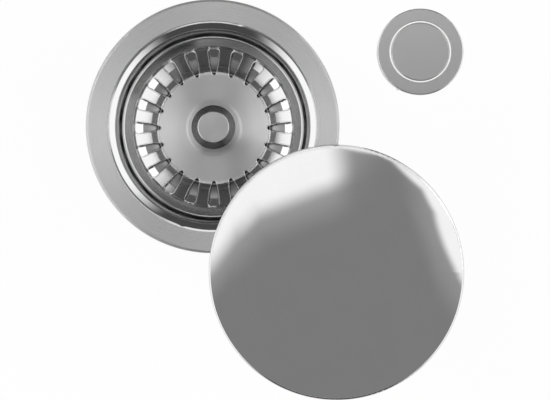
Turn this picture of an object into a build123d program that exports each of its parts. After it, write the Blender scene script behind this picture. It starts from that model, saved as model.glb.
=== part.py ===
from build123d import *
import os
from math import asin, atan2, cos, degrees, sin

# Pop-up sink waste: a strainer waste for a sink outlet, the loose cap that covers it and the
# push button that works it through a cable. Sizes are in millimetres. The frame is the sink's:
# the origin lies on the waste's axis at the sink's surface, +Z is up, and +X points to the side
# on which the cap and the button lie.

# The sink that the set is fastened to
sink_hole_d = 90.0
sink_thickness = 6.0

# Strainer cup, pressed from one sheet
cup_sheet = 1.0
flange_overhang = 12.0
flange_lip = 2.2
flange_edge_radius = 1.2
mouth_radius = 5.0
neck_clearance = 1.5
bowl_corner_radius = 9.0
seat_edge_radius = 1.0
well_d = 44.0
well_corner_radius = 2.0
drain_opening_count = 4
drain_opening_ring_d = 30.0
drain_opening_width = 8.0
drain_opening_angle = 44.0

# Gaskets on the two faces of the sink
flange_gasket_thickness = 1.5
flange_gasket_width = 8.0
clamp_gasket_thickness = 4.0
gasket_edge_radius = 0.8
gasket_clearance = 0.1

# Strainer basket, pressed from one sheet with slots from floor to wall
basket_sheet = 0.8
basket_neck_gap = 1.2
basket_rim_bead_d = 1.6
basket_rim_depth = 9.5
basket_depth = 23.0
basket_flare_run = 4.7
basket_flare_drop = 4.2
basket_wall_taper = 0.3
basket_slope_run = 7.9
basket_slope_rise = 4.7
basket_step_run = 2.2
basket_step_rise = 3.4
basket_bend_radius = 1.2
basket_boss_d = 26.0
basket_boss_rise = 0.2
basket_boss_edge = 1.2
slot_count = 20
slot_tip_inset = 2.0
slot_end_inset = 0.4
slot_tip_width = 2.1
slot_end_width = 5.5
slot_corner_radius = 1.4
slot_belly_run = 5.2
slot_belly_width = 4.2

# Basket knob, turned with its stud
knob_d = 20.0
knob_top_d = 14.0
knob_height = 17.0
knob_cone_height = 3.0
knob_band = 1.5
knob_undercut = 2.5
knob_neck_d = 12.0
knob_base_d = 17.0
knob_base_height = 3.0
knob_edge_radius = 0.4
stud_d = 6.0
stud_clearance = 0.1

# Seal under the basket and what clamps it
seal_d = 49.0
seal_thickness = 3.0
seal_rest_gap = 0.2
retainer_d = 34.0
retainer_thickness = 1.0
stud_nut_flats = 10.0
stud_nut_thickness = 3.2
stud_tail = 0.4

# Lift pin in the hollow screw that holds the cup to the drain body
basket_lift = 8.0
pin_d = 6.0
pin_head_d = 10.0
pin_head_thickness = 1.6
pin_head_gap = 0.3
pin_clearance = 0.1
pin_reach = 1.0
pin_tip_radius = 2.4
screw_d = 12.0
screw_clearance = 0.05
screw_head_flats = 15.0
screw_head_thickness = 4.0
screw_washer_d = 18.0
screw_washer_thickness = 1.0

# Drain body, moulded
body_wall = 2.4
body_neck_room = 1.1
clamp_rim_overhang = 9.0
clamp_rim_thickness = 4.0
funnel_collar = 20.0
funnel_waist_d = 52.0
funnel_waist_rise = 6.0
funnel_bend_radius = 8.0
outlet_d = 40.0
outlet_drop = 2.5
outlet_tail_relief = 0.3
outlet_thread_length = 20.0
outlet_collar_thickness = 1.6
outlet_collar_width = 1.8
gusset_count = 12
gusset_thickness = 2.4
gusset_height = 8.0
gusset_setback = 1.0
hub_d = 19.0
hub_length = 9.7
spoke_count = 3
spoke_thickness = 3.0
spoke_setback = 1.5

# Rocker lever under the lift pin, in a chamber on the drain body's side
lever_inner_arm = 31.0
lever_outer_arm = 18.0
lever_end_d = 6.0
lever_width = 6.0
lever_hub_d = 10.0
lever_hub_length = 13.6
lever_eye_d = 2.0
lever_tip_gap = 0.3
lever_room = 1.6
lever_side_room = 0.8
axle_d = 4.0
axle_clearance = 0.06
axle_head_d = 8.0
axle_head_thickness = 1.5
axle_tail = 2.0
axle_clip_thickness = 1.0
axle_clip_grip = 0.4
axle_seal_section = 1.5
axle_seal_clearance = 0.05
window_side_room = 1.0
chamber_corner_radius = 2.0
chamber_gasket_thickness = 1.0
chamber_lid_thickness = 2.4
lid_boss_d = 6.4
lid_boss_height = 4.6
lid_screw_d = 2.5
lid_screw_length = 7.0
lid_screw_clearance = 0.05
lid_screw_head_d = 5.0
lid_screw_head_thickness = 1.6

# Cable entries: a boss with a nut at the waste and at the button
gland_boss_d = 11.0
gland_boss_length = 8.0
gland_nut_flats = 14.0
gland_nut_length = 8.0
gland_nut_lip = 2.0
gland_nut_clearance = 0.05
cable_d = 5.2
cable_depth = 6.0
cable_wire_d = 2.8

# Cover cap: a pressed dome on a moulded carrier with three feet
cover_x = 55.5
cover_y = -65.5
cover_d = 114.4
cover_sheet = 0.7
cover_height = 5.2
cover_crown = 1.6
cover_edge_radius = 0.9
cover_gap = 0.5
carrier_clearance = 0.05
carrier_ring_width = 9.0
carrier_plate_depth = 1.0
carrier_disc_d = 28.0
carrier_spoke_count = 6
carrier_spoke_width = 6.0
foot_ring_d = 103.0
foot_d = 7.2
foot_pad_thickness = 1.6
foot_peg_d = 4.0
foot_peg_depth = 1.0

# Push button and the threaded housing that it moves in
button_x = 93.1
button_y = 33.3
button_d = 26.0
button_gap = 0.12
button_guide_wall = 0.6
button_guide_sink = 0.05
guide_clearance = 0.03
button_housing_gap = 0.4
button_thickness = 2.5
button_edge = 0.2
button_boss_d = 11.0
button_boss_height = 3.0
bezel_overhang = 4.55
bezel_thickness = 4.2
bezel_edge_radius = 0.6
bezel_gasket_thickness = 1.0
bezel_gasket_inset = 0.8
housing_d = 28.6
housing_thread_height = 0.55
housing_clearance = 0.2
housing_flange_overhang = 1.2
housing_flange_thickness = 1.5
housing_length = 33.0
housing_wall = 3.4
web_depth = 11.0
web_thickness = 3.0
clamp_washer_d = 38.0
clamp_washer_thickness = 2.0
clamp_nut_flats = 33.0
clamp_nut_thickness = 8.0
plunger_d = 10.0
plunger_clearance = 0.1
plunger_spigot_d = 6.0
plunger_spigot_length = 2.5
plunger_block = 9.0
plunger_block_length = 12.7
plunger_stop_gap = 0.3
spring_d = 18.0
spring_wire_d = 1.0
spring_turns = 5
spring_seat_gap = 0.05
latch_wire_d = 1.4
latch_drop = 6.7
latch_track_depth = 2.0
latch_track_clearance = 0.3
latch_arm = 5.0
latch_bend_radius = 2.0
latch_socket_depth = 1.5
end_cap_thickness = 4.0
end_cap_spigot = 3.0
end_cap_spigot_wall = 1.5

# Levels from the sink's surface down through the waste
flange_top = flange_gasket_thickness + cup_sheet
neck_r = sink_hole_d / 2 - neck_clearance
neck_inner_r = neck_r - cup_sheet
flange_r = sink_hole_d / 2 + flange_overhang
basket_rim = flange_top - basket_rim_depth
basket_floor = basket_rim - basket_depth
basket_rim_r = neck_inner_r - basket_neck_gap
basket_flare_r = basket_rim_r - basket_flare_run
basket_shoulder_r = basket_flare_r - basket_wall_taper
basket_waist_r = basket_shoulder_r - basket_slope_run
basket_floor_r = basket_waist_r - basket_step_run
slot_tip_r = basket_floor_r - slot_tip_inset
slot_end_r = basket_shoulder_r - slot_end_inset
seal_top = basket_floor - basket_sheet
seal_bottom = seal_top - seal_thickness
seat = seal_bottom - seal_rest_gap
retainer_bottom = seal_bottom - retainer_thickness
stud_nut_bottom = retainer_bottom - stud_nut_thickness
pin_top = stud_nut_bottom - stud_tail
pin_head_bottom = pin_top - pin_head_thickness
screw_head_top = pin_head_bottom - pin_head_gap
screw_head_bottom = screw_head_top - screw_head_thickness
well_floor = screw_head_bottom - screw_washer_thickness
hub_top = well_floor - cup_sheet
hub_bottom = hub_top - hub_length
clamp_gasket_top = -sink_thickness
clamp_rim_top = clamp_gasket_top - clamp_gasket_thickness
clamp_rim_r = sink_hole_d / 2 + clamp_rim_overhang
clamp_rim_inner_r = neck_r + body_neck_room
funnel_top = clamp_rim_top - funnel_collar
funnel_waist = hub_bottom + funnel_waist_rise
outlet_top = hub_bottom - outlet_drop
outlet_r = outlet_d / 2
outlet_thread_r = outlet_r + body_wall

# The lever swings as far below level at rest as above it when the basket is up
pin_bottom = hub_bottom - basket_lift - pin_reach
lever_swing = asin(basket_lift / 2 / lever_inner_arm)
pivot_x = -lever_inner_arm * cos(lever_swing)
pivot_z = pin_bottom - lever_tip_gap - lever_end_d / 2 + basket_lift / 2
button_travel = basket_lift * lever_outer_arm / lever_inner_arm

# Lever chamber
chamber_half_height = lever_outer_arm * sin(lever_swing) + lever_end_d / 2 + lever_room
chamber_half_width = lever_hub_length / 2 + lever_side_room
chamber_ceiling = pivot_z + chamber_half_height
chamber_sill = pivot_z - chamber_half_height
chamber_bottom = chamber_sill - body_wall
chamber_top = chamber_ceiling + body_wall
chamber_inner_x = pivot_x + lever_hub_d / 2 + lever_side_room
chamber_outer_x = pivot_x - lever_outer_arm - lever_end_d / 2 - lever_room
chamber_wall_x = chamber_outer_x - body_wall
chamber_side_y = chamber_half_width + body_wall
chamber_root_x = -outlet_r - body_wall / 4
lid_inner_x = chamber_inner_x + body_wall / 2
lid_top = chamber_bottom - chamber_gasket_thickness
lid_bottom = lid_top - chamber_lid_thickness
lid_screw_places = [
    (x, side * chamber_side_y)
    for x in (chamber_wall_x + lid_boss_d / 2, lid_inner_x - lid_boss_d / 2)
    for side in (1, -1)
]
gland_x = pivot_x - lever_outer_arm * cos(lever_swing)
outlet_collar_top = lid_bottom - lid_screw_head_thickness
outlet_thread_top = outlet_collar_top - outlet_collar_thickness
outlet_end = outlet_thread_top - outlet_thread_length

# Cover cap levels
cover_r = cover_d / 2
cover_bottom = flange_top + cover_gap
cover_top = cover_bottom + cover_height
cover_shoulder = cover_top - cover_crown
cover_inner_r = cover_r - cover_sheet
cover_ceiling = cover_top - cover_sheet
cover_inner_shoulder = cover_shoulder - cover_sheet
carrier_r = cover_r - cover_edge_radius - carrier_clearance
carrier_bottom = cover_inner_shoulder - carrier_plate_depth
cover_bearing = degrees(atan2(cover_y, cover_x))

# Button levels
button_r = button_d / 2
bezel_bottom = bezel_gasket_thickness
bezel_top = bezel_bottom + bezel_thickness
guide_inner_r = button_r + button_gap
guide_outer_r = guide_inner_r + button_guide_wall
bezel_hole_r = guide_outer_r + guide_clearance
housing_r = housing_d / 2
housing_thread_r = housing_r + housing_thread_height
bezel_r = housing_thread_r + bezel_overhang
housing_bore_r = button_r + button_housing_gap
housing_flange_r = housing_thread_r + housing_flange_overhang
housing_flange_top = bezel_bottom + housing_flange_thickness
housing_end = bezel_bottom - housing_length
housing_cavity_r = housing_r - housing_wall
button_under = bezel_top - button_thickness
button_boss_bottom = button_under - button_boss_height
web_top = bezel_bottom - web_depth
web_bottom = web_top - web_thickness
clamp_washer_bottom = -sink_thickness - clamp_washer_thickness
clamp_nut_bottom = clamp_washer_bottom - clamp_nut_thickness
plunger_block_top = web_bottom - plunger_stop_gap
plunger_block_bottom = plunger_block_top - plunger_block_length
latch_z = plunger_block_top - latch_drop
latch_x = plunger_block / 2 - latch_track_depth + latch_track_clearance
end_cap_bottom = housing_end - end_cap_thickness

# Planes and axes that several pieces share
button_profile = Plane((button_x, button_y, 0), x_dir=(1, 0, 0), z_dir=(0, -1, 0))
button_axis = Axis((button_x, button_y, 0), (0, 0, 1))
cover_profile = Plane((cover_x, cover_y, 0), x_dir=(1, 0, 0), z_dir=(0, -1, 0))
cover_axis = Axis((cover_x, cover_y, 0), (0, 0, 1))
lever_plane = Plane(
    (pivot_x, 0, pivot_z), x_dir=(cos(lever_swing), 0, -sin(lever_swing)), z_dir=(0, -1, 0)
)
lever_outer_plane = Plane(lever_plane.origin, x_dir=-lever_plane.x_dir, z_dir=lever_plane.z_dir)
axle_plane = Plane((pivot_x, 0, pivot_z), x_dir=(1, 0, 0), z_dir=(0, 1, 0))
waste_gland_plane = Plane((gland_x, 0, chamber_top))
button_gland_plane = Plane((button_x, button_y, end_cap_bottom), z_dir=(0, 0, -1))


def at(plane_x, plane_y, level):
    return Plane((plane_x, plane_y, level))


def save(piece, name):
    piece.part.label = name
    export_step(piece.part, f"parts/{name}.step")


def flat_ring(outer_r, inner_r, bottom, top, centre=(0, 0)):
    with BuildPart() as piece:
        with BuildSketch(at(*centre, bottom)):
            Circle(outer_r)
            Circle(inner_r, mode=Mode.SUBTRACT)
        extrude(amount=top - bottom)
    return piece


def hex_ring(flats, inner_r, bottom, top, centre=(0, 0)):
    with BuildPart() as piece:
        with BuildSketch(at(*centre, bottom)):
            RegularPolygon(flats / 2, 6, major_radius=False)
            Circle(inner_r, mode=Mode.SUBTRACT)
        extrude(amount=top - bottom)
    return piece


def gland_boss(plane):
    with BuildPart() as piece:
        with BuildSketch(plane):
            Circle(gland_boss_d / 2)
        extrude(amount=gland_boss_length)
    return piece.part


def gland_bore(plane, wire_depth):
    with BuildPart() as piece:
        with BuildSketch(plane.offset(gland_boss_length - cable_depth)):
            Circle(cable_d / 2)
        extrude(amount=cable_depth)
        with BuildSketch(plane.offset(-wire_depth)):
            Circle(cable_wire_d / 2)
        extrude(amount=wire_depth + gland_boss_length)
    return piece.part


def gland_nut(plane):
    lip_start = gland_boss_length
    with BuildPart() as piece:
        with BuildSketch(plane.offset(lip_start + gland_nut_lip - gland_nut_length)):
            RegularPolygon(gland_nut_flats / 2, 6, major_radius=False)
            Circle(gland_boss_d / 2 + gland_nut_clearance, mode=Mode.SUBTRACT)
        extrude(amount=gland_nut_length - gland_nut_lip)
        with BuildSketch(plane.offset(lip_start)):
            RegularPolygon(gland_nut_flats / 2, 6, major_radius=False)
            Circle(cable_d / 2, mode=Mode.SUBTRACT)
        extrude(amount=gland_nut_lip)
    return piece


os.makedirs("parts", exist_ok=True)

# Strainer cup: flange, neck, bowl, valve seat and a well with the drain openings
with BuildPart() as strainer_cup:
    with BuildSketch(Plane.XZ):
        with BuildLine():
            FilletPolyline(
                (flange_r, flange_top - flange_lip),
                (flange_r, flange_top),
                (neck_inner_r, flange_top),
                (neck_inner_r, seat),
                (well_d / 2, seat),
                (well_d / 2, well_floor),
                (screw_d / 2 + screw_clearance, well_floor),
                radius=[
                    flange_edge_radius,
                    mouth_radius,
                    bowl_corner_radius,
                    seat_edge_radius,
                    well_corner_radius,
                ],
            )
            offset(amount=cup_sheet, side=Side.LEFT)
        make_face()
    revolve(axis=Axis.Z)
    opening_arc = Edge.make_circle(
        drain_opening_ring_d / 2,
        start_angle=-drain_opening_angle / 2,
        end_angle=drain_opening_angle / 2,
    )
    with BuildSketch(Plane.XY.offset(hub_top)):
        with PolarLocations(0, drain_opening_count):
            SlotArc(opening_arc, drain_opening_width)
    extrude(amount=cup_sheet, mode=Mode.SUBTRACT)
save(strainer_cup, "strainer_cup")

# Gaskets above and below the sink's sheet
flange_gasket_outer_r = flange_r - flange_edge_radius - gasket_clearance
flange_gasket = flat_ring(
    flange_gasket_outer_r,
    flange_gasket_outer_r - flange_gasket_width,
    0,
    flange_gasket_thickness,
)
save(flange_gasket, "flange_gasket")

with BuildPart() as clamp_gasket:
    with BuildSketch(Plane.XY.offset(clamp_rim_top)):
        Circle(clamp_rim_r)
        Circle(neck_r + gasket_clearance, mode=Mode.SUBTRACT)
    extrude(amount=clamp_gasket_thickness)
    fillet(clamp_gasket.edges().group_by(Axis.Z)[-1], gasket_edge_radius)
save(clamp_gasket, "clamp_gasket")


# Drain body: clamp rim, funnel, threaded outlet, screw hub on spokes and the lever's chamber
def funnel_line():
    return FilletPolyline(
        (clamp_rim_inner_r, clamp_rim_top),
        (clamp_rim_inner_r, funnel_top),
        (funnel_waist_d / 2, funnel_waist),
        (outlet_r, outlet_top),
        (outlet_r, outlet_end),
        radius=funnel_bend_radius,
    )


with BuildPart() as funnel_inside:
    with BuildSketch(Plane.XZ):
        with BuildLine():
            wall_line = funnel_line()
            Polyline(wall_line @ 1, (0, outlet_end), (0, clamp_rim_top), wall_line @ 0)
        make_face()
    revolve(axis=Axis.Z)

with BuildPart() as rim_gusset:
    with BuildSketch(Plane.XZ):
        with BuildLine():
            gusset_top = clamp_rim_top - clamp_rim_thickness
            Polyline(
                (clamp_rim_inner_r, gusset_top),
                (clamp_rim_r - gusset_setback, gusset_top),
                (clamp_rim_inner_r, gusset_top - gusset_height),
                close=True,
            )
        make_face()
    extrude(amount=gusset_thickness / 2, both=True)

with BuildPart() as hub_spoke:
    with BuildSketch(Plane.XZ):
        spoke_top = hub_top - spoke_setback
        spoke_bottom = hub_bottom + spoke_setback
        with BuildLine():
            Polyline(
                (0, spoke_top),
                (clamp_rim_inner_r, spoke_top),
                (clamp_rim_inner_r, spoke_bottom),
                (0, spoke_bottom),
                close=True,
            )
        make_face()
    extrude(amount=spoke_thickness / 2, both=True)

with BuildPart() as screw_hub:
    with PolarLocations(0, spoke_count, start_angle=180 / spoke_count):
        add(hub_spoke.part)
    add(funnel_inside.part, mode=Mode.INTERSECT)
    with BuildSketch(Plane.XY.offset(hub_bottom)):
        Circle(hub_d / 2)
    extrude(amount=hub_length)
    with BuildSketch(Plane.XY.offset(hub_bottom)):
        Circle(screw_d / 2 + screw_clearance)
    extrude(amount=hub_length, mode=Mode.SUBTRACT)

with BuildPart() as drain_body:
    with BuildSketch(Plane.XZ):
        with BuildLine():
            funnel_line()
            offset(amount=body_wall, side=Side.LEFT)
        make_face()
    revolve(axis=Axis.Z)
    with BuildSketch(Plane.XY.offset(clamp_rim_top - clamp_rim_thickness)):
        Circle(clamp_rim_r)
    extrude(amount=clamp_rim_thickness)
    with PolarLocations(0, gusset_count):
        add(rim_gusset.part)
    # the chamber's box, its lid bosses and the cable entry
    with BuildSketch(Plane.XY.offset(chamber_bottom)):
        with Locations(((chamber_wall_x + chamber_root_x) / 2, 0)):
            RectangleRounded(chamber_root_x - chamber_wall_x, 2 * chamber_side_y, chamber_corner_radius)
    extrude(amount=chamber_top - chamber_bottom)
    with BuildSketch(Plane.XY.offset(chamber_bottom)):
        with Locations(*lid_screw_places):
            Circle(lid_boss_d / 2)
    extrude(amount=lid_boss_height)
    add(gland_boss(waste_gland_plane))
    # the collar that stops the union nut on the outlet
    with BuildSketch(Plane.XY.offset(outlet_thread_top)):
        Circle(outlet_thread_r + outlet_collar_width)
    extrude(amount=outlet_collar_thickness)
    add(funnel_inside.part, mode=Mode.SUBTRACT)
    with BuildSketch(Plane.XY.offset(outlet_end)):
        Circle(outlet_r + outlet_tail_relief)
    extrude(amount=outlet_thread_length, mode=Mode.SUBTRACT)
    add(screw_hub.part)
    # the lever's room and its window into the outlet
    with BuildSketch(Plane.XY.offset(chamber_bottom)):
        with Locations(((chamber_outer_x + chamber_inner_x) / 2, 0)):
            Rectangle(chamber_inner_x - chamber_outer_x, 2 * chamber_half_width)
    extrude(amount=chamber_ceiling - chamber_bottom, mode=Mode.SUBTRACT)
    with BuildSketch(Plane.XY.offset(chamber_sill)):
        with Locations((chamber_inner_x / 2 - outlet_r / 4, 0)):
            Rectangle(-chamber_inner_x - outlet_r / 2, lever_width + 2 * window_side_room)
    extrude(amount=chamber_ceiling - chamber_sill, mode=Mode.SUBTRACT)
    # the axle's holes with their seal recesses, the cable's bore and the screw holes
    with BuildSketch(axle_plane):
        Circle(axle_d / 2 + axle_seal_clearance)
    extrude(amount=chamber_side_y, both=True, mode=Mode.SUBTRACT)
    for side in (1, -1):
        with BuildSketch(axle_plane.offset(side * chamber_side_y)):
            Circle(axle_d / 2 + axle_seal_section + 2 * axle_seal_clearance)
        extrude(amount=-side * (axle_seal_section + axle_seal_clearance), mode=Mode.SUBTRACT)
    add(gland_bore(waste_gland_plane, body_wall), mode=Mode.SUBTRACT)
    with BuildSketch(Plane.XY.offset(chamber_bottom)):
        with Locations(*lid_screw_places):
            Circle(lid_screw_d / 2 + lid_screw_clearance)
    extrude(amount=lid_screw_length, mode=Mode.SUBTRACT)
save(drain_body, "drain_body")

# Hollow screw through the cup's floor into the hub, and the washer under its head
with BuildPart() as centre_screw:
    with BuildSketch(Plane.XY.offset(screw_head_bottom)):
        RegularPolygon(screw_head_flats / 2, 6, major_radius=False)
    extrude(amount=screw_head_thickness)
    with BuildSketch(Plane.XY.offset(hub_bottom)):
        Circle(screw_d / 2)
    extrude(amount=screw_head_bottom - hub_bottom)
    with BuildSketch(Plane.XY.offset(hub_bottom)):
        Circle(pin_d / 2 + pin_clearance)
    extrude(amount=screw_head_top - hub_bottom, mode=Mode.SUBTRACT)
save(centre_screw, "centre_screw")

screw_washer = flat_ring(screw_washer_d / 2, screw_d / 2 + screw_clearance, well_floor, screw_head_bottom)
save(screw_washer, "screw_washer")

# Basket: a pressed bowl whose slots run from the edge of its floor up its wall
with BuildSketch() as basket_slot:
    with Locations((slot_tip_r + slot_tip_width / 2, 0)):
        Circle(slot_tip_width / 2)
    with Locations((slot_tip_r + slot_belly_run, 0)):
        Circle(slot_belly_width / 2)
    corner_x = slot_end_r - slot_corner_radius
    corner_y = slot_end_width / 2 - slot_corner_radius
    with Locations((corner_x, corner_y), (corner_x, -corner_y)):
        Circle(slot_corner_radius)
    make_hull()

with BuildPart() as basket:
    bead_r = basket_rim_bead_d / 2
    bead_centre = (basket_rim_r - bead_r, basket_rim - bead_r)
    with BuildSketch(Plane.XZ):
        with BuildLine():
            FilletPolyline(
                bead_centre,
                (basket_flare_r, bead_centre[1] - basket_flare_drop),
                (basket_shoulder_r, basket_floor + basket_step_rise + basket_slope_rise),
                (basket_waist_r, basket_floor + basket_step_rise),
                (basket_floor_r, basket_floor),
                (basket_boss_d / 2, basket_floor),
                (basket_boss_d / 2 - basket_boss_edge, basket_floor + basket_boss_rise),
                (stud_d / 2 + stud_clearance, basket_floor + basket_boss_rise),
                radius=[basket_bend_radius] * 4 + [0, 0],
            )
            offset(amount=basket_sheet, side=Side.LEFT)
        make_face()
        with Locations(bead_centre):
            Circle(bead_r)
    revolve(axis=Axis.Z)
    with BuildSketch(Plane.XY.offset(basket_floor - 2 * basket_sheet)):
        with PolarLocations(0, slot_count):
            add(basket_slot.sketch)
    extrude(amount=basket_depth, mode=Mode.SUBTRACT)
save(basket, "basket")

# Knob, turned in one piece with the stud that holds the seal
with BuildPart() as basket_knob:
    knob_foot = basket_floor + basket_boss_rise
    knob_top = knob_foot + knob_height
    band_top = knob_top - knob_cone_height
    band_bottom = band_top - knob_band
    with BuildSketch(Plane.XZ):
        with BuildLine():
            Polyline(
                (0, knob_top),
                (knob_top_d / 2, knob_top),
                (knob_d / 2, band_top),
                (knob_d / 2, band_bottom),
                (knob_neck_d / 2, band_bottom - knob_undercut),
                (knob_neck_d / 2, knob_foot + knob_base_height),
                (knob_base_d / 2, knob_foot),
                (stud_d / 2, knob_foot),
                (stud_d / 2, pin_top),
                (0, pin_top),
                close=True,
            )
        make_face()
    revolve(axis=Axis.Z)
    fillet(basket_knob.edges().filter_by(GeomType.CIRCLE).group_by(Axis.Z)[-1], knob_edge_radius)
save(basket_knob, "basket_knob")

# Seal, its retainer and the nut on the knob's stud
basket_seal = flat_ring(seal_d / 2, stud_d / 2 + stud_clearance, seal_bottom, seal_top)
save(basket_seal, "basket_seal")
seal_retainer = flat_ring(retainer_d / 2, stud_d / 2 + stud_clearance, retainer_bottom, seal_bottom)
save(seal_retainer, "seal_retainer")
stud_nut = hex_ring(stud_nut_flats, stud_d / 2 + stud_clearance / 2, stud_nut_bottom, retainer_bottom)
save(stud_nut, "stud_nut")

# Lift pin, under the stud and down through the hollow screw
with BuildPart() as lift_pin:
    with BuildSketch(Plane.XY.offset(pin_head_bottom)):
        Circle(pin_head_d / 2)
    extrude(amount=pin_head_thickness)
    with BuildSketch(Plane.XY.offset(pin_bottom)):
        Circle(pin_d / 2)
    extrude(amount=pin_head_bottom - pin_bottom)
    fillet(lift_pin.edges().group_by(Axis.Z)[0], pin_tip_radius)
save(lift_pin, "lift_pin")

# Rocker lever: the inner end lifts the pin, the outer end takes the cable's wire
with BuildPart() as rocker_lever:
    for arm_plane, arm in ((lever_plane, lever_inner_arm), (lever_outer_plane, lever_outer_arm)):
        with BuildSketch(arm_plane):
            Circle(lever_hub_d / 2)
            with Locations((arm, 0)):
                Circle(lever_end_d / 2)
            make_hull()
        extrude(amount=lever_width / 2, both=True)
    with BuildSketch(lever_plane):
        Circle(lever_hub_d / 2)
    extrude(amount=lever_hub_length / 2, both=True)
    with BuildSketch(lever_plane):
        Circle(axle_d / 2 + axle_clearance)
    extrude(amount=lever_hub_length / 2, both=True, mode=Mode.SUBTRACT)
    with BuildSketch(lever_plane):
        with Locations((-lever_outer_arm, 0)):
            Circle(lever_eye_d / 2)
    extrude(amount=lever_width / 2, both=True, mode=Mode.SUBTRACT)
save(rocker_lever, "rocker_lever")

# Axle with a head, its clip and the two seals in the chamber's walls
with BuildPart() as lever_axle:
    with BuildSketch(axle_plane.offset(chamber_side_y)):
        Circle(axle_head_d / 2)
    extrude(amount=axle_head_thickness)
    with BuildSketch(axle_plane.offset(-chamber_side_y - axle_tail)):
        Circle(axle_d / 2)
    extrude(amount=2 * chamber_side_y + axle_tail)
save(lever_axle, "lever_axle")

with BuildPart() as axle_clip:
    with BuildSketch(axle_plane.offset(-chamber_side_y)):
        Circle(axle_head_d / 2)
        Circle(axle_d / 2 + axle_seal_clearance, mode=Mode.SUBTRACT)
        with Locations((0, -axle_head_d / 2)):
            Rectangle(axle_d - 2 * axle_clip_grip, axle_head_d, mode=Mode.SUBTRACT)
    extrude(amount=-axle_clip_thickness)
save(axle_clip, "axle_clip")

with BuildPart() as axle_seals:
    for side in (1, -1):
        seal_ring_r = axle_d / 2 + axle_seal_clearance + axle_seal_section / 2
        seal_middle = side * (chamber_side_y - axle_seal_section / 2)
        with BuildSketch(Plane.XY.offset(pivot_z)):
            with Locations((pivot_x + seal_ring_r, seal_middle)):
                Circle(axle_seal_section / 2)
        revolve(axis=Axis((pivot_x, 0, pivot_z), (0, 1, 0)))
save(axle_seals, "axle_seals")


# Lid of the lever chamber with its gasket and screws
def chamber_plate(bottom, top, open_inside):
    with BuildPart() as piece:
        with BuildSketch(Plane.XY.offset(bottom)):
            with Locations(((chamber_wall_x + lid_inner_x) / 2, 0)):
                RectangleRounded(lid_inner_x - chamber_wall_x, 2 * chamber_side_y, chamber_corner_radius)
            with Locations(*lid_screw_places):
                Circle(lid_boss_d / 2)
            with Locations(*lid_screw_places):
                Circle(lid_screw_d / 2 + lid_screw_clearance, mode=Mode.SUBTRACT)
            if open_inside:
                with Locations(((chamber_outer_x + chamber_inner_x) / 2, 0)):
                    Rectangle(
                        chamber_inner_x - chamber_outer_x, 2 * chamber_half_width, mode=Mode.SUBTRACT
                    )
        extrude(amount=top - bottom)
    return piece


save(chamber_plate(lid_bottom, lid_top, open_inside=False), "chamber_lid")
save(chamber_plate(lid_top, chamber_bottom, open_inside=True), "chamber_gasket")

with BuildPart() as lid_screws:
    with BuildSketch(Plane.XY.offset(lid_bottom)):
        with Locations(*lid_screw_places):
            Circle(lid_screw_head_d / 2)
    extrude(amount=-lid_screw_head_thickness)
    with BuildSketch(Plane.XY.offset(lid_bottom)):
        with Locations(*lid_screw_places):
            Circle(lid_screw_d / 2)
    extrude(amount=lid_screw_length)
save(lid_screws, "lid_screws")

save(gland_nut(waste_gland_plane), "waste_gland_nut")


# Cover cap: a shallow dome with a turned-down edge
with BuildPart() as cover_cap:
    with BuildSketch(cover_profile) as cap_section:
        with BuildLine():
            TangentArc((0, cover_top), (cover_r, cover_shoulder), tangent=(1, 0))
            Polyline(
                (cover_r, cover_shoulder),
                (cover_r, cover_bottom),
                (cover_inner_r, cover_bottom),
                (cover_inner_r, cover_inner_shoulder),
            )
            TangentArc((0, cover_ceiling), (cover_inner_r, cover_inner_shoulder), tangent=(1, 0))
            Line((0, cover_ceiling), (0, cover_top))
        make_face()
        outer_corner = cap_section.vertices().sort_by_distance((cover_r, cover_shoulder))[0]
        fillet(outer_corner, cover_edge_radius)
        inner_corner = cap_section.vertices().sort_by_distance((cover_inner_r, cover_inner_shoulder))[0]
        fillet(inner_corner, cover_edge_radius - cover_sheet)
    revolve(axis=cover_axis)
save(cover_cap, "cover_cap")

# Moulded carrier glued under the dome, with three legs
with BuildPart() as cap_inside:
    with BuildSketch(cover_profile):
        with BuildLine():
            TangentArc(
                (0, cover_ceiling - carrier_clearance),
                (cover_inner_r, cover_inner_shoulder - carrier_clearance),
                tangent=(1, 0),
            )
            Polyline(
                (cover_inner_r, cover_inner_shoulder - carrier_clearance),
                (cover_inner_r, carrier_bottom),
                (0, carrier_bottom),
                (0, cover_ceiling - carrier_clearance),
            )
        make_face()
    revolve(axis=cover_axis)

with BuildPart() as cover_carrier:
    with BuildSketch(at(cover_x, cover_y, carrier_bottom)):
        Circle(carrier_r)
        Circle(carrier_r - carrier_ring_width, mode=Mode.SUBTRACT)
        Circle(carrier_disc_d / 2)
        with PolarLocations((carrier_r - carrier_ring_width / 2) / 2, carrier_spoke_count):
            Rectangle(carrier_r - carrier_ring_width / 2, carrier_spoke_width)
    extrude(amount=cover_top - carrier_bottom)
    add(cap_inside.part, mode=Mode.INTERSECT)
    with BuildSketch(at(cover_x, cover_y, foot_pad_thickness)):
        with PolarLocations(foot_ring_d / 2, 3, start_angle=cover_bearing):
            Circle(foot_d / 2)
    extrude(amount=carrier_bottom - foot_pad_thickness)
    with BuildSketch(at(cover_x, cover_y, foot_pad_thickness - foot_peg_depth)):
        with PolarLocations(foot_ring_d / 2, 3, start_angle=cover_bearing):
            Circle(foot_peg_d / 2)
    extrude(amount=foot_peg_depth)
save(cover_carrier, "cover_carrier")

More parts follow.
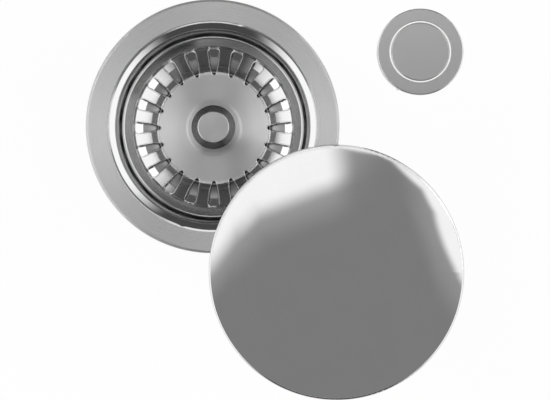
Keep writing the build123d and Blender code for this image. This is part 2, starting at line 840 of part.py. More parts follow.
with BuildPart() as cover_feet:
    with BuildSketch(at(cover_x, cover_y, 0)):
        with PolarLocations(foot_ring_d / 2, 3, start_angle=cover_bearing):
            Circle(foot_d / 2)
    extrude(amount=foot_pad_thickness)
    with BuildSketch(at(cover_x, cover_y, foot_pad_thickness - foot_peg_depth)):
        with PolarLocations(foot_ring_d / 2, 3, start_angle=cover_bearing):
            Circle(foot_peg_d / 2 + carrier_clearance)
    extrude(amount=foot_peg_depth, mode=Mode.SUBTRACT)
save(cover_feet, "cover_feet")

# Button bezel over the housing's flange, with the gasket under both
with BuildPart() as button_bezel:
    with BuildSketch(button_profile) as bezel_section:
        with BuildLine():
            Polyline(
                (bezel_hole_r, housing_flange_top),
                (housing_flange_r + housing_clearance, housing_flange_top),
                (housing_flange_r + housing_clearance, bezel_bottom),
                (bezel_r, bezel_bottom),
                (bezel_r, bezel_top),
                (bezel_hole_r, bezel_top),
                close=True,
            )
        make_face()
        fillet(bezel_section.vertices().sort_by_distance((bezel_r, bezel_top))[0], bezel_edge_radius)
    revolve(axis=button_axis)
save(button_bezel, "button_bezel")

# White guide ring that the button slides in, pressed into the bezel
button_guide = flat_ring(
    guide_outer_r,
    guide_inner_r,
    housing_flange_top,
    bezel_top - button_guide_sink,
    (button_x, button_y),
)
save(button_guide, "button_guide")

bezel_gasket = flat_ring(
    bezel_r - bezel_gasket_inset,
    housing_thread_r + housing_clearance,
    0,
    bezel_bottom,
    (button_x, button_y),
)
save(bezel_gasket, "bezel_gasket")

# Housing: a threaded shank with a flange, a web that guides the plunger and an open lower end
with BuildPart() as button_housing:
    with BuildSketch(button_profile):
        with BuildLine():
            Polyline(
                (housing_bore_r, housing_flange_top),
                (housing_flange_r, housing_flange_top),
                (housing_flange_r, bezel_bottom),
                (housing_r, bezel_bottom),
                (housing_r, housing_end),
                (housing_cavity_r, housing_end),
                (housing_cavity_r, web_bottom),
                (plunger_d / 2 + plunger_clearance, web_bottom),
                (plunger_d / 2 + plunger_clearance, web_top),
                (housing_bore_r, web_top),
                close=True,
            )
        make_face()
    revolve(axis=button_axis)
save(button_housing, "button_housing")

clamp_washer = flat_ring(
    clamp_washer_d / 2,
    housing_thread_r + housing_clearance,
    clamp_washer_bottom,
    -sink_thickness,
    (button_x, button_y),
)
save(clamp_washer, "clamp_washer")
clamp_nut = hex_ring(
    clamp_nut_flats,
    housing_thread_r + gland_nut_clearance,
    clamp_nut_bottom,
    clamp_washer_bottom,
    (button_x, button_y),
)
save(clamp_nut, "clamp_nut")

# Button cap and the plunger under it, which carries the latch's track
with BuildPart() as button_cap:
    with BuildSketch(button_profile) as cap_profile:
        with BuildLine():
            Polyline(
                (0, bezel_top),
                (button_r, bezel_top),
                (button_r, button_under),
                (button_boss_d / 2, button_under),
                (button_boss_d / 2, button_boss_bottom),
                (plunger_spigot_d / 2 + stud_clearance, button_boss_bottom),
                (plunger_spigot_d / 2 + stud_clearance, button_boss_bottom + plunger_spigot_length),
                (0, button_boss_bottom + plunger_spigot_length),
                close=True,
            )
        make_face()
        chamfer(cap_profile.vertices().sort_by_distance((button_r, bezel_top))[0], button_edge)
    revolve(axis=button_axis)
save(button_cap, "button_cap")

with BuildPart() as plunger:
    with BuildSketch(at(button_x, button_y, plunger_block_top)):
        Circle(plunger_d / 2)
    extrude(amount=button_boss_bottom - plunger_block_top)
    with BuildSketch(at(button_x, button_y, button_boss_bottom)):
        Circle(plunger_spigot_d / 2)
    extrude(amount=plunger_spigot_length)
    with BuildSketch(at(button_x, button_y, plunger_block_bottom)):
        Rectangle(plunger_block, plunger_block)
    extrude(amount=plunger_block_length)
    track_half_width = latch_wire_d / 2 + latch_track_clearance
    track_length = button_travel + 2 * track_half_width
    track_origin = (button_x + plunger_block / 2, button_y, latch_z)
    with BuildSketch(Plane(track_origin, x_dir=(0, 1, 0), z_dir=(1, 0, 0))):
        with Locations((0, button_travel / 2)):
            SlotOverall(track_length, 2 * track_half_width, rotation=90)
    extrude(amount=-latch_track_depth, mode=Mode.SUBTRACT)
save(plunger, "plunger")

# Return spring between the housing's web and the button cap
with BuildPart() as return_spring:
    spring_bottom = web_top + spring_wire_d / 2 + spring_seat_gap
    spring_height = button_under - web_top - spring_wire_d - 2 * spring_seat_gap
    with BuildLine() as spring_path:
        Helix(
            pitch=spring_height / spring_turns,
            height=spring_height,
            radius=spring_d / 2,
            center=(button_x, button_y, spring_bottom),
        )
    with BuildSketch(spring_path.line ^ 0):
        Circle(spring_wire_d / 2)
    sweep()
save(return_spring, "return_spring")

# Latch wire: its upper end rides in the plunger's track, its lower end sits in the end cap
with BuildPart() as latch_wire:
    with BuildLine() as latch_path:
        FilletPolyline(
            (button_x + latch_x, button_y, latch_z),
            (button_x + latch_x + latch_arm, button_y, latch_z),
            (button_x + latch_x + latch_arm, button_y, housing_end - latch_socket_depth),
            radius=latch_bend_radius,
        )
    with BuildSketch(latch_path.line ^ 0):
        Circle(latch_wire_d / 2)
    sweep()
save(latch_wire, "latch_wire")

# End cap of the housing with the cable's entry
with BuildPart() as housing_end_cap:
    with BuildSketch(at(button_x, button_y, end_cap_bottom)):
        Circle(housing_r)
    extrude(amount=end_cap_thickness)
    with BuildSketch(at(button_x, button_y, housing_end)):
        Circle(housing_cavity_r - gasket_clearance)
        Circle(housing_cavity_r - end_cap_spigot_wall, mode=Mode.SUBTRACT)
    extrude(amount=end_cap_spigot)
    add(gland_boss(button_gland_plane))
    add(gland_bore(button_gland_plane, end_cap_thickness), mode=Mode.SUBTRACT)
    with BuildSketch(at(button_x + latch_x + latch_arm, button_y, housing_end)):
        Circle(latch_wire_d / 2 + gasket_clearance)
    extrude(amount=-latch_socket_depth, mode=Mode.SUBTRACT)
save(housing_end_cap, "housing_end_cap")

save(gland_nut(button_gland_plane), "button_gland_nut")
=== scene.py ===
"""Looks of the pop-up sink waste: materials, fine forms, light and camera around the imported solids."""

import math

import bmesh
import bpy
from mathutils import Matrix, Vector


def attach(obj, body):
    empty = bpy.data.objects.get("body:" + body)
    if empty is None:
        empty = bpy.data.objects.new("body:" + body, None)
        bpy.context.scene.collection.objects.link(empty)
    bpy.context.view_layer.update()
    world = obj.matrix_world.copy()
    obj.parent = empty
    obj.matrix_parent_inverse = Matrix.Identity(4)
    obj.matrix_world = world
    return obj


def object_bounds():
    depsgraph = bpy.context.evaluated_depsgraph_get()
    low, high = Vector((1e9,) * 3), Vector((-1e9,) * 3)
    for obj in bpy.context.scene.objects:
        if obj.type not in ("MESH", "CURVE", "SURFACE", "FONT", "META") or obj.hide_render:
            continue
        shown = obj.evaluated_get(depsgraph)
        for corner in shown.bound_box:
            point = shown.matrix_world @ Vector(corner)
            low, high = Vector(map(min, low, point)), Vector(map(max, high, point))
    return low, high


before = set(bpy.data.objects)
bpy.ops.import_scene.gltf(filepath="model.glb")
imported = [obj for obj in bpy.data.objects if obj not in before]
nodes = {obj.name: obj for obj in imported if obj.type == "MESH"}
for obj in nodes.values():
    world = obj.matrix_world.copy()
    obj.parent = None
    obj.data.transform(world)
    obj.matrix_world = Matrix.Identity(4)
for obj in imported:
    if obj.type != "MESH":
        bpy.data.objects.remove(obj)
cad_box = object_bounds()

MM = 0.001


def span(name, axis):
    """A node's lowest and highest coordinate along an axis, in millimetres to one decimal place."""
    values = [v.co[axis] / MM for v in nodes[name].data.vertices]
    return round(min(values), 1), round(max(values), 1)


def upright_axis(name):
    """Where the axis of a round node stands, in metres."""
    return tuple(round(sum(span(name, axis)) / 2, 1) * MM for axis in (0, 1))


AXIS = (0.0, 0.0)
COVER = upright_axis("cover_cap")
BUTTON = upright_axis("button_bezel")
FLANGE_TOP = span("strainer_cup", 2)[1]


class Graph:
    """One material's node tree, with short calls for the nodes that the materials here share."""

    def __init__(self, name, base, metallic, roughness, specular=0.5):
        self.material = bpy.data.materials.new(name)
        self.material.use_nodes = True
        self.tree = self.material.node_tree
        self.shader = self.tree.nodes["Principled BSDF"]
        self.shader.inputs["Base Color"].default_value = (*base, 1)
        self.shader.inputs["Metallic"].default_value = metallic
        self.shader.inputs["Roughness"].default_value = roughness
        self.shader.inputs["Specular IOR Level"].default_value = specular

    def add(self, kind, **settings):
        node = self.tree.nodes.new(kind)
        for key, value in settings.items():
            setattr(node, key, value)
        return node

    def link(self, value, socket):
        """Sets a socket to a number, or links another socket to it."""
        if isinstance(value, (int, float)):
            socket.default_value = value
        else:
            self.tree.links.new(value, socket)

    def math(self, operation, a, b=None, clamp=False):
        node = self.add("ShaderNodeMath", operation=operation, use_clamp=clamp)
        self.link(a, node.inputs[0])
        if b is not None:
            self.link(b, node.inputs[1])
        return node.outputs[0]

    def place(self):
        """The point in the part's own frame, which moves with its body."""
        return self.add("ShaderNodeTexCoord").outputs["Object"]

    def split(self, vector):
        node = self.add("ShaderNodeSeparateXYZ")
        self.link(vector, node.inputs[0])
        return node.outputs

    def join(self, x, y, z):
        node = self.add("ShaderNodeCombineXYZ")
        for value, socket in zip((x, y, z), node.inputs):
            self.link(value, socket)
        return node.outputs[0]

    def polar(self, centre):
        """Distance from an upright axis, angle round it and height."""
        x, y, z = self.split(self.place())
        x = self.math("SUBTRACT", x, centre[0])
        y = self.math("SUBTRACT", y, centre[1])
        squares = self.math("ADD", self.math("MULTIPLY", x, x), self.math("MULTIPLY", y, y))
        return self.math("SQRT", squares), self.math("ARCTAN2", y, x), z

    def noise(self, vector, scale, detail, roughness=0.55):
        node = self.add("ShaderNodeTexNoise")
        self.link(vector, node.inputs["Vector"])
        node.inputs["Scale"].default_value = scale
        node.inputs["Detail"].default_value = detail
        node.inputs["Roughness"].default_value = roughness
        return node.outputs["Fac"]

    def steps(self, value, low, high, out_low, out_high):
        """A smooth change of one value into another."""
        node = self.add("ShaderNodeMapRange", interpolation_type="SMOOTHSTEP")
        self.link(value, node.inputs["Value"])
        for key, number in zip(("From Min", "From Max", "To Min", "To Max"), (low, high, out_low, out_high)):
            self.link(number, node.inputs[key])
        return node.outputs["Result"]

    def blend(self, a, b, factor):
        """A value between two values."""
        first = self.math("MULTIPLY", a, self.math("SUBTRACT", 1.0, factor))
        return self.math("ADD", first, self.math("MULTIPLY", b, factor))

    def by_distance(self, r, pairs):
        """A value that follows (distance in millimetres, value) pairs outward from an axis."""
        value = pairs[0][1]
        for (near, before), (far, after) in zip(pairs, pairs[1:]):
            value = self.math("ADD", value, self.steps(r, near * MM, far * MM, 0.0, after - before))
        return value

    def mixed(self, factor, dark, light):
        """A colour between two colours."""
        node = self.add("ShaderNodeMix", data_type="RGBA")
        self.link(factor, node.inputs["Factor"])
        first, second = [s for s in node.inputs if s.type == "RGBA"]
        first.default_value = (*dark, 1)
        second.default_value = (*light, 1)
        return [s for s in node.outputs if s.type == "RGBA"][0]

    def scaled(self, colour, factor):
        node = self.add("ShaderNodeVectorMath", operation="SCALE")
        self.link(colour, node.inputs[0])
        self.link(factor, node.inputs["Scale"])
        return node.outputs[0]

    def tint(self, factor, dark, light):
        self.link(self.mixed(factor, dark, light), self.shader.inputs["Base Color"])

    def bump(self, height, distance, strength, normal):
        node = self.add("ShaderNodeBump")
        self.link(height, node.inputs["Height"])
        node.inputs["Distance"].default_value = distance
        node.inputs["Strength"].default_value = strength
        self.link(normal, node.inputs["Normal"])
        self.link(node.outputs["Normal"], self.shader.inputs["Normal"])

    def rounded(self, radius):
        """Normals of softly broken edges."""
        node = self.add("ShaderNodeBevel", samples=4)
        self.link(radius, node.inputs["Radius"])
        return node.outputs["Normal"]

    def brushed_round(self, amount):
        """Reflections drawn out across fine lines that run round an upright axis."""
        quarter_turn = 0.25
        self.shader.inputs["Anisotropic Rotation"].default_value = quarter_turn
        tangent = self.add("ShaderNodeTangent", direction_type="RADIAL", axis="Z")
        self.link(tangent.outputs["Tangent"], self.shader.inputs["Tangent"])
        self.shader.inputs["Anisotropic"].default_value = amount


STEEL = (0.62, 0.62, 0.62)
STEEL_DARK = (0.55, 0.55, 0.55)

# Most of a noise lies between these values
NOISE_LOW = 0.3
NOISE_HIGH = 0.7


def pressed_steel(name, centre, finish, anisotropy, edge, painted_brightness=((0.0, 1.0),), far_edge=None):
    """Sheet steel whose finish follows the distance from its axis, and whose colour can be scaled by that
    distance as painted light and shade.

    finish, and the painted light and shade: (distance in millimetres, roughness or painted brightness)
    pairs.
    edge, far_edge: radius in millimetres of its broken edges, and of those behind its axis if it differs."""
    lines_per_metre = 4200.0
    breaks_per_radian = 0.9
    clouds_per_metre = 90.0
    streak_depth = 0.16
    far_from = 5.0
    far_to = 40.0
    g = Graph(name, STEEL, 1.0, finish[0][1])
    r, angle, z = g.polar(centre)
    rough = g.by_distance(r, finish)
    across = g.math("MULTIPLY", r, lines_per_metre)
    along = g.math("MULTIPLY", angle, breaks_per_radian)
    upward = g.math("MULTIPLY", z, lines_per_metre)
    fine = g.noise(g.join(across, along, upward), 1.0, 3.0)
    cloud = g.noise(g.place(), clouds_per_metre, 3.0)
    streak = g.math("MULTIPLY", g.math("SUBTRACT", fine, 0.5), streak_depth)
    g.link(g.math("ADD", rough, g.math("MULTIPLY", streak, rough), clamp=True), g.shader.inputs["Roughness"])
    grain = g.math("ADD", g.math("MULTIPLY", fine, 0.5), g.math("MULTIPLY", cloud, 0.5))
    # The colour is scaled by distance from the axis: painted light and shade
    colour = g.scaled(g.mixed(grain, STEEL_DARK, STEEL), g.by_distance(r, painted_brightness))
    g.link(colour, g.shader.inputs["Base Color"])
    g.brushed_round(anisotropy)
    radius = edge * MM
    if far_edge:
        y = g.split(g.place())[1]
        radius = g.steps(y, centre[1] + far_from * MM, centre[1] + far_to * MM, edge * MM, far_edge * MM)
    g.link(g.rounded(radius), g.shader.inputs["Normal"])
    return g.material


def turned_steel(name):
    """Plain steel for screws, pins and wire."""
    edge = 0.25
    smoothest = 0.2
    roughest = 0.3
    grains_per_metre = 1800.0
    g = Graph(name, STEEL, 1.0, 0.24)
    fine = g.noise(g.place(), grains_per_metre, 2.0)
    g.link(g.steps(fine, NOISE_LOW, NOISE_HIGH, smoothest, roughest), g.shader.inputs["Roughness"])
    g.tint(fine, STEEL_DARK, STEEL)
    g.link(g.rounded(edge * MM), g.shader.inputs["Normal"])
    return g.material


def moulded(name, dark, light, roughness, grain, depth, edge):
    """Plastic, rubber or fibre, with a fine grain of pits per metre and their depth in millimetres."""
    clouds_per_metre = 120.0
    pit_share = 0.4
    sway = 0.06
    g = Graph(name, light, 0.0, roughness, specular=0.4)
    pits = g.noise(g.place(), grain, 4.0, 0.6)
    cloud = g.noise(g.place(), clouds_per_metre, 3.0)
    shade = g.math("ADD", g.math("MULTIPLY", pits, pit_share), g.math("MULTIPLY", cloud, 1.0 - pit_share))
    g.tint(shade, dark, light)
    rough = g.steps(cloud, NOISE_LOW, NOISE_HIGH, roughness - sway, roughness + sway)
    g.link(rough, g.shader.inputs["Roughness"])
    g.bump(pits, depth * MM, 0.5, g.rounded(edge * MM))
    return g.material


def dress(material, *names):
    """Gives some nodes one material."""
    for name in names:
        mesh = nodes[name].data
        mesh.materials.clear()
        mesh.materials.append(material)


cup_finish = [
    (35.0, 0.3), (35.3, 0.1), (37.5, 0.1), (38.5, 0.4), (42.3, 0.4),
    (43.0, 0.07), (47.0, 0.07), (47.7, 0.28), (55.9, 0.28), (56.3, 0.55),
]
# Painted shade: the cup's colour darkens under the basket, most from 28.5 to 35 mm out from the axis
cup_shade_painted = [(25.8, 0.85), (28.5, 0.42), (35.0, 0.42), (35.3, 1.0)]
cup_steel = pressed_steel("cup_steel", AXIS, cup_finish, anisotropy=0.75, edge=0.35, painted_brightness=cup_shade_painted)

basket_finish = [(24.0, 0.38), (26.5, 0.12), (45.0, 0.10)]
# Painted highlight on the basket's floor inside 25 mm, and painted shade on the ring of its pressed step
basket_glint_and_shade_painted = [(24.8, 1.25), (25.4, 1.0), (26.3, 1.0), (26.7, 0.55), (28.0, 0.55), (28.4, 1.0)]
basket_steel = pressed_steel(
    "basket_steel", AXIS, basket_finish, anisotropy=0.9, edge=0.3, painted_brightness=basket_glint_and_shade_painted
)

cover_finish = [(10.0, 0.02)]
cover_steel = pressed_steel("cover_steel", COVER, cover_finish, anisotropy=0.0, edge=0.05, far_edge=1.8)

button_finish = [(5.0, 0.17)]
button_steel = pressed_steel("button_steel", BUTTON, button_finish, anisotropy=0.0, edge=0.4)

bar_steel = turned_steel("bar_steel")

knob_finish = [(6.6, 0.15), (7.2, 0.2)]
# Painted shade: the knob is darker beyond 7 mm from the axis, on its cone
knob_shade_painted = [(6.9, 1.0), (7.3, 0.7)]
knob_steel = pressed_steel("knob_steel", AXIS, knob_finish, anisotropy=0.3, edge=0.08, painted_brightness=knob_shade_painted)

bead_finish = [(10.0, 0.14)]
# Painted highlight: the beads along the slots' edges are brighter than the steel
bead_highlight_painted = [(10.0, 1.35)]
edge_steel = pressed_steel("edge_steel", AXIS, bead_finish, anisotropy=0.0, edge=0.1, painted_brightness=bead_highlight_painted)

bowl_finish = [(32.4, 0.26), (33.0, 0.12)]
# Painted shade on the bowl inside its bend, and a painted highlight on its steeper part beyond
bowl_shade_and_highlight_painted = [(32.4, 0.58), (33.0, 1.3)]
bowl_steel = pressed_steel("bowl_steel", AXIS, bowl_finish, anisotropy=0.5, edge=0.05, painted_brightness=bowl_shade_and_highlight_painted)

black_plastic = moulded(
    "black_plastic", (0.022, 0.022, 0.023), (0.04, 0.04, 0.042),
    roughness=0.42, grain=2600.0, depth=0.05, edge=0.4,
)
grey_plastic = moulded(
    "grey_plastic", (0.36, 0.37, 0.38), (0.47, 0.48, 0.49), roughness=0.4, grain=2600.0, depth=0.04, edge=0.4
)
rubber = moulded(
    "rubber", (0.016, 0.016, 0.016), (0.03, 0.03, 0.03), roughness=0.62, grain=1800.0, depth=0.08, edge=0.4
)
white_plastic = moulded(
    "white_plastic", (0.8, 0.8, 0.8), (0.88, 0.88, 0.88), roughness=0.4, grain=2600.0, depth=0.02, edge=0.1
)
fibre = moulded(
    "fibre", (0.26, 0.08, 0.05), (0.38, 0.14, 0.09), roughness=0.75, grain=900.0, depth=0.1, edge=0.2
)

dress(cup_steel, "strainer_cup")
dress(basket_steel, "basket")
dress(cover_steel, "cover_cap")
dress(button_steel, "button_bezel", "button_cap")
dress(knob_steel, "basket_knob")
dress(
    bar_steel, "seal_retainer", "stud_nut", "centre_screw", "lift_pin", "lever_axle", "axle_clip",
    "lid_screws", "return_spring", "latch_wire",
)
dress(
    rubber, "flange_gasket", "clamp_gasket", "basket_seal", "axle_seals", "chamber_gasket", "bezel_gasket",
    "cover_feet",
)
dress(black_plastic, "drain_body", "chamber_lid", "cover_carrier", "button_housing", "housing_end_cap")
dress(
    grey_plastic, "rocker_lever", "waste_gland_nut", "button_gland_nut", "clamp_nut", "clamp_washer",
    "plunger",
)
dress(fibre, "screw_washer")
dress(white_plastic, "button_guide")


def fit(name, verts, faces, material, body, smooth=False):
    """One more visible piece, which moves with a body of the part."""
    crease = math.radians(50)
    mesh = bpy.data.meshes.new(name)
    mesh.from_pydata(verts, [], faces)
    mesh.materials.append(material)
    for face in mesh.polygons:
        face.use_smooth = smooth
    mesh.set_sharp_from_angle(angle=crease)
    piece = bpy.data.objects.new(name, mesh)
    bpy.context.scene.collection.objects.link(piece)
    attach(piece, body)


def ridge(name, centre, root_r, crest_r, bottom, top, pitch, material, body):
    """One turn after another of a thread's ridge, run out at both ends.

    Half its width at root and crest is a share of the pitch, and its root is sunk into the solid."""
    per_turn = 72
    run_out = per_turn / 3
    root_half = 0.42
    crest_half = 0.14
    sunk_r = root_r - 0.1
    count = int((top - bottom) / pitch * per_turn)
    verts = []
    faces = []
    for i in range(count + 1):
        angle = 2 * math.pi * i / per_turn
        ends = min(i, count - i) / run_out
        crest = root_r + (crest_r - root_r) * min(1.0, ends)
        z = bottom + (top - bottom) * i / count
        section = ((sunk_r, root_half), (crest, crest_half), (crest, -crest_half), (sunk_r, -root_half))
        for radius, half in section:
            level = min(max(z + half * pitch, bottom), top)
            verts.append((
                centre[0] + radius * MM * math.cos(angle),
                centre[1] + radius * MM * math.sin(angle),
                level * MM,
            ))
    for i in range(count):
        a = 4 * i
        for k in range(4):
            faces.append((a + k, a + (k + 1) % 4, a + 4 + (k + 1) % 4, a + 4 + k))
    faces.append((3, 2, 1, 0))
    last = 4 * count
    faces.append((last, last + 1, last + 2, last + 3))
    fit(name, verts, faces, material, body)


def turned(name, outline, material, body, smooth=False):
    """A closed outline of (distance, height) points in millimetres, turned round the waste's axis."""
    around = 120
    count = len(outline)
    verts = []
    faces = []
    for i in range(around):
        angle = 2 * math.pi * i / around
        for radius, level in outline:
            verts.append((radius * MM * math.cos(angle), radius * MM * math.sin(angle), level * MM))
        a = count * i
        b = count * ((i + 1) % around)
        for k in range(count):
            n = (k + 1) % count
            faces.append((a + k, b + k, b + n, a + n))
    fit(name, verts, faces, material, body, smooth)


def slot_outlines():
    """Closed outlines of the basket's slots on its upper side.

    A slot's edge lies in the ring of slots, between a steep cut face and a face that looks up."""
    weld = 0.002
    ring_inner = 23.5
    ring_outer = 37.0
    cut_limit = 0.25
    upper_limit = 0.4
    point_step = 0.7
    fewest_points = 12
    sheet = bmesh.new()
    sheet.from_mesh(nodes["basket"].data)
    bmesh.ops.remove_doubles(sheet, verts=sheet.verts, dist=weld * MM)
    sheet.normal_update()
    beside = {}
    for edge in sheet.edges:
        if len(edge.link_faces) != 2:
            continue
        cut, upper = sorted((face.normal.z for face in edge.link_faces))
        middle = (edge.verts[0].co + edge.verts[1].co) / 2
        in_ring = ring_inner * MM < middle.to_2d().length < ring_outer * MM
        if abs(cut) < cut_limit and upper > upper_limit and in_ring:
            first, second = edge.verts
            beside.setdefault(first.index, []).append(second.index)
            beside.setdefault(second.index, []).append(first.index)
    sheet.verts.ensure_lookup_table()
    outlines = []
    done = set()
    for start in beside:
        if start in done:
            continue
        walk = [start]
        done.add(start)
        while True:
            ahead = [i for i in beside[walk[-1]] if i not in done]
            if not ahead:
                break
            walk.append(ahead[0])
            done.add(ahead[0])
        points = []
        for i in walk:
            point = sheet.verts[i].co.copy()
            if not points or (point - points[-1]).length > point_step * MM:
                points.append(point)
        if len(points) > fewest_points:
            outlines.append(points)
    sheet.free()
    return outlines


def rolled_edges(name, outlines, radius, material, body):
    """A fine bead along each outline."""
    sides = 8
    verts = []
    faces = []
    for points in outlines:
        base = len(verts)
        count = len(points)
        for i, point in enumerate(points):
            ahead = (points[(i + 1) % count] - points[i - 1]).normalized()
            across = ahead.cross(Vector((0, 0, 1))).normalized()
            above = across.cross(ahead)
            for k in range(sides):
                turn = 2 * math.pi * k / sides
                verts.append(point + radius * MM * (math.cos(turn) * across + math.sin(turn) * above))
        for i in range(count):
            a = base + sides * i
            b = base + sides * ((i + 1) % count)
            for k in range(sides):
                n = (k + 1) % sides
                faces.append((a + k, a + n, b + n, b + k))
    fit(name, verts, faces, material, body, smooth=True)


BEAD_RADIUS = 0.27
rolled_edges("slot_edges", slot_outlines(), BEAD_RADIUS, edge_steel, "lifter")

# The seal's lip stands out from its edge, close under its top
SEAL_R = span("basket_seal", 0)[1]
SEAL_TOP = span("basket_seal", 2)[1]
lip_inner = SEAL_R - 0.2
lip_outer = SEAL_R + 0.9
lip_bottom = SEAL_TOP - 1.2
lip_top = SEAL_TOP - 0.3
lip_outline = [(lip_inner, lip_bottom), (lip_outer, lip_bottom), (lip_outer, lip_top), (lip_inner, lip_top)]
turned("seal_lip", lip_outline, rubber, "lifter")

# The bowl under the slots stands on the cup's seat. It flattens outward to a bend and is steeper beyond it
SEAT = -34.0
BOWL_SHEET = 0.6
BOWL_STEPS = 8
bowl_floor = SEAT + BOWL_SHEET
bowl_foot = Vector((26.0, bowl_floor))
bowl_swell = Vector((29.15, bowl_floor + 1.02))
bowl_bend = Vector((32.9, bowl_floor + 1.35))
bowl_top = Vector((38.5, bowl_floor + 3.9))
just_past_bend = bowl_bend.lerp(bowl_top, 0.06)
upper = []
for i in range(BOWL_STEPS + 1):
    t = i / BOWL_STEPS
    upper.append(bowl_foot.lerp(bowl_swell, t).lerp(bowl_swell.lerp(bowl_bend, t), t))
upper += [just_past_bend, bowl_top]
lower = [point - Vector((0.0, BOWL_SHEET)) for point in reversed(upper)]
turned("bowl_face", [*lower, *upper], bowl_steel, "waste", smooth=True)

# The outlet's thread is G 1 1/2
OUTLET_ROOT = 22.4
OUTLET_CREST = 23.9
OUTLET_PITCH = 2.309
OUTLET_THREAD = 20.0
outlet_end = span("drain_body", 2)[0]
ridge(
    "outlet_thread", AXIS, OUTLET_ROOT, OUTLET_CREST, outlet_end, outlet_end + OUTLET_THREAD, OUTLET_PITCH,
    black_plastic, "waste",
)

HOUSING_ROOT = 14.3
HOUSING_CREST = 14.84
HOUSING_PITCH = 1.5
housing_end, housing_top = span("button_housing", 2)
thread_end = housing_end + 0.2
thread_top = housing_top - 1.6
ridge(
    "housing_thread", BUTTON, HOUSING_ROOT, HOUSING_CREST, thread_end, thread_top, HOUSING_PITCH,
    black_plastic, "waste",
)


def floor_material():
    """Pale floor that the camera sees as a white background with a faint shadow."""
    white_share = 0.94
    g = Graph("pale_floor", (0.85, 0.85, 0.85), 0.0, 0.7)
    path = g.add("ShaderNodeLightPath")
    glow = g.add("ShaderNodeEmission")
    mix = g.add("ShaderNodeMixShader")
    direct = g.math("MAXIMUM", path.outputs["Is Camera Ray"], path.outputs["Is Glossy Ray"])
    direct = g.math("MAXIMUM", direct, path.outputs["Is Transmission Ray"])
    g.link(g.math("MULTIPLY", direct, white_share), mix.inputs["Fac"])
    g.link(g.shader.outputs[0], mix.inputs[1])
    g.link(glow.outputs[0], mix.inputs[2])
    output = [n for n in g.tree.nodes if n.type == "OUTPUT_MATERIAL"][0]
    g.link(mix.outputs[0], output.inputs["Surface"])
    return g.material


FLOOR_HALF = 3.0
FLOOR_GAP = 0.5
floor_z = cad_box[0][2] - FLOOR_GAP * MM
corners = [(FLOOR_HALF * x, FLOOR_HALF * y, floor_z) for x, y in ((-1, -1), (1, -1), (1, 1), (-1, 1))]
floor_mesh = bpy.data.meshes.new("floor")
floor_mesh.from_pydata(corners, [], [(0, 1, 2, 3)])
floor_mesh.materials.append(floor_material())
floor = bpy.data.objects.new("floor", floor_mesh)
bpy.context.scene.collection.objects.link(floor)


class World(Graph):
    """The studio round the object, as brightness by direction."""

    def __init__(self):
        self.world = bpy.data.worlds.new("studio")
        bpy.context.scene.world = self.world
        self.world.use_nodes = True
        self.tree = self.world.node_tree
        self.background = [n for n in self.tree.nodes if n.type == "BACKGROUND"][0]

    def rise(self, value, begins, full):
        """0 before a value, 1 beyond another."""
        return self.steps(value, begins, full, 0.0, 1.0)


# Edges of the two windows overhead: the bearing in degrees that an edge lies across, and where its light
# begins and is full, as the sine of the angle from straight up
WINDOW_A_GLOW = [(152, 0.072, 0.1), (135, 0.041, 0.092), (110, 0.02, 0.073)]
WINDOW_A_EDGE = [(152, 0.089, 0.106), (135, 0.074, 0.098), (110, 0.057, 0.084)]
WINDOW_A_SIDE_GLOW = [(188, -0.1, -0.03)]
WINDOW_A_SIDE_EDGE = [(188, -0.058, -0.019)]
WINDOW_B_GLOW = [(19, 0.11, 0.1395)]
WINDOW_B_EDGE = [
    (19, 0.136, 0.143), (34, 0.132, 0.137), (49, 0.126, 0.13), (65, 0.1225, 0.1265), (81, 0.1135, 0.1175),
]

# Brightness of what the studio holds
CARD = 0.33
WINDOW = 1.53
BAND_ENDS = 1.4
BAND_ACROSS = 0.22
BAND_OUTSIDE = 0.1
BAND_SIDES = 1.2
BOX = 1.6
BOX_GAP = 0.1
BELOW = 0.35

# Where one part changes into the next: outward from straight up, as a sine
CARD_RIM = (0.185, 0.20)
SIDES_RIM = (0.21, 0.25)
BAND_MIDDLE = (0.30, 0.36)
BAND_RIM = (0.38, 0.46)

# Round the object, as the share of that distance which is sideways
BAND_TURN = (0.2, 0.5)
SIDES_TURN = (0.93, 0.99)
BOX_TURN = (0.42, 0.85)

# Up or down, as a sine
HORIZON = (-0.1, 0.05)


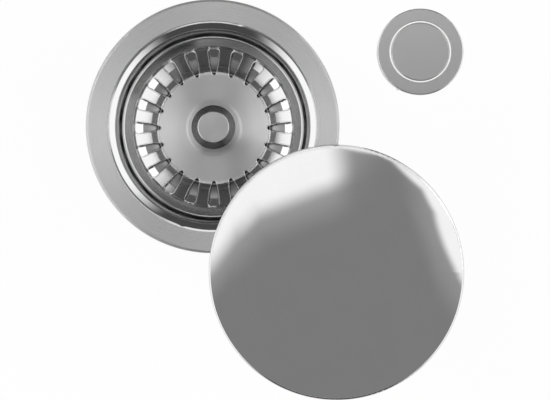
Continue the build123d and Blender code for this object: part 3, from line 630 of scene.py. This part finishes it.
def studio():
    """White boxes at left and right, a grey card overhead with two windows, and a dark front and back."""
    tiny = 0.001
    w = World()
    x, y, z = w.split(w.add("ShaderNodeTexCoord").outputs["Generated"])
    away = w.math("SQRT", w.math("ADD", w.math("MULTIPLY", x, x), w.math("MULTIPLY", y, y)))
    sideways = w.math("DIVIDE", w.math("ABSOLUTE", x), w.math("MAXIMUM", away, tiny))

    def beyond(edges):
        """1 beyond any of some straight edges, 0 before them all."""
        light = 0.0
        for bearing, begins, full in edges:
            turn = math.radians(bearing)
            along_x = w.math("MULTIPLY", x, math.cos(turn))
            along_y = w.math("MULTIPLY", y, math.sin(turn))
            edge = w.rise(w.math("ADD", along_x, along_y), begins, full)
            light = w.math("MAXIMUM", light, edge)
        return light

    def soft(glow, edges, share):
        """Light beyond its edges, with a faint glow before them."""
        return w.blend(beyond(edges), beyond(glow), share)

    window_a = soft(WINDOW_A_GLOW, WINDOW_A_EDGE, share=0.2)
    window_a = w.math("MULTIPLY", window_a, soft(WINDOW_A_SIDE_GLOW, WINDOW_A_SIDE_EDGE, share=0.15))
    window_b = soft(WINDOW_B_GLOW, WINDOW_B_EDGE, share=0.12)
    overhead = w.blend(CARD, WINDOW, w.math("MAXIMUM", window_a, window_b))

    # The band between the card and the boxes: light in front and behind, dark across, and light at the sides
    band = w.steps(sideways, *BAND_TURN, BAND_ENDS, BAND_ACROSS)
    band = w.blend(band, BAND_OUTSIDE, w.rise(away, *BAND_MIDDLE))
    sides = w.math("MULTIPLY", w.rise(sideways, *SIDES_TURN), w.rise(away, *SIDES_RIM))
    band = w.blend(band, BAND_SIDES, sides)
    boxes = w.blend(BOX_GAP, BOX, w.rise(sideways, *BOX_TURN))

    light = w.blend(overhead, band, w.rise(away, *CARD_RIM))
    light = w.blend(light, boxes, w.rise(away, *BAND_RIM))
    light = w.math("MULTIPLY", light, w.steps(z, *HORIZON, BELOW, 1.0))
    path = w.add("ShaderNodeLightPath")
    w.link(w.blend(light, 1.0, path.outputs["Is Camera Ray"]), w.background.inputs["Strength"])
    w.background.inputs["Color"].default_value = (1, 1, 1, 1)


studio()


def lamp(name, spot, target, size, power, metal):
    """A soft box that faces a point. Without metal it lights only what scatters light."""
    data = bpy.data.lights.new(name, "AREA")
    data.shape = "DISK"
    data.size = size
    data.energy = power
    soft_box = bpy.data.objects.new(name, data)
    bpy.context.scene.collection.objects.link(soft_box)
    soft_box.location = spot
    soft_box.rotation_euler = (Vector(target) - Vector(spot)).to_track_quat("-Z", "Y").to_euler()
    soft_box.visible_glossy = metal
    soft_box.visible_camera = False
    return soft_box


MIDDLE = (0.03, -0.02, -0.03)
lamp("key_box", spot=(-0.5, 0.5, 1.0), target=MIDDLE, size=0.9, power=4.5, metal=False)
lamp("fill_box", spot=(0.9, -0.6, 0.7), target=MIDDLE, size=0.9, power=3.5, metal=False)
# A card that lights the cap alone and shows in its far rim
rim_spot = (COVER[0] + 0.117, COVER[1] + 0.835, 0.71)
rim_card = lamp("rim_card", spot=rim_spot, target=(*COVER, 0.0), size=1.65, power=8.0, metal=True)
cap_only = bpy.data.collections.new("cap_only")
cap_only.objects.link(nodes["cover_cap"])
rim_card.light_linking.receiver_collection = cap_only

# The camera looks straight down through a long lens, and the view is as wide as this at the flange
VIEW_CENTRE = (28.0 * MM, -33.1 * MM)
VIEW_WIDTH = 246.8 * MM
LENS = 200.0
SENSOR = 36.0
camera_data = bpy.data.cameras.new("camera")
camera_data.lens = LENS
camera_data.sensor_width = SENSOR
camera_data.clip_end = 20.0
camera = bpy.data.objects.new("camera", camera_data)
bpy.context.scene.collection.objects.link(camera)
camera.location = (*VIEW_CENTRE, FLANGE_TOP * MM + VIEW_WIDTH * LENS / SENSOR)
bpy.context.scene.camera = camera

bpy.context.scene.view_settings.view_transform = "Standard"
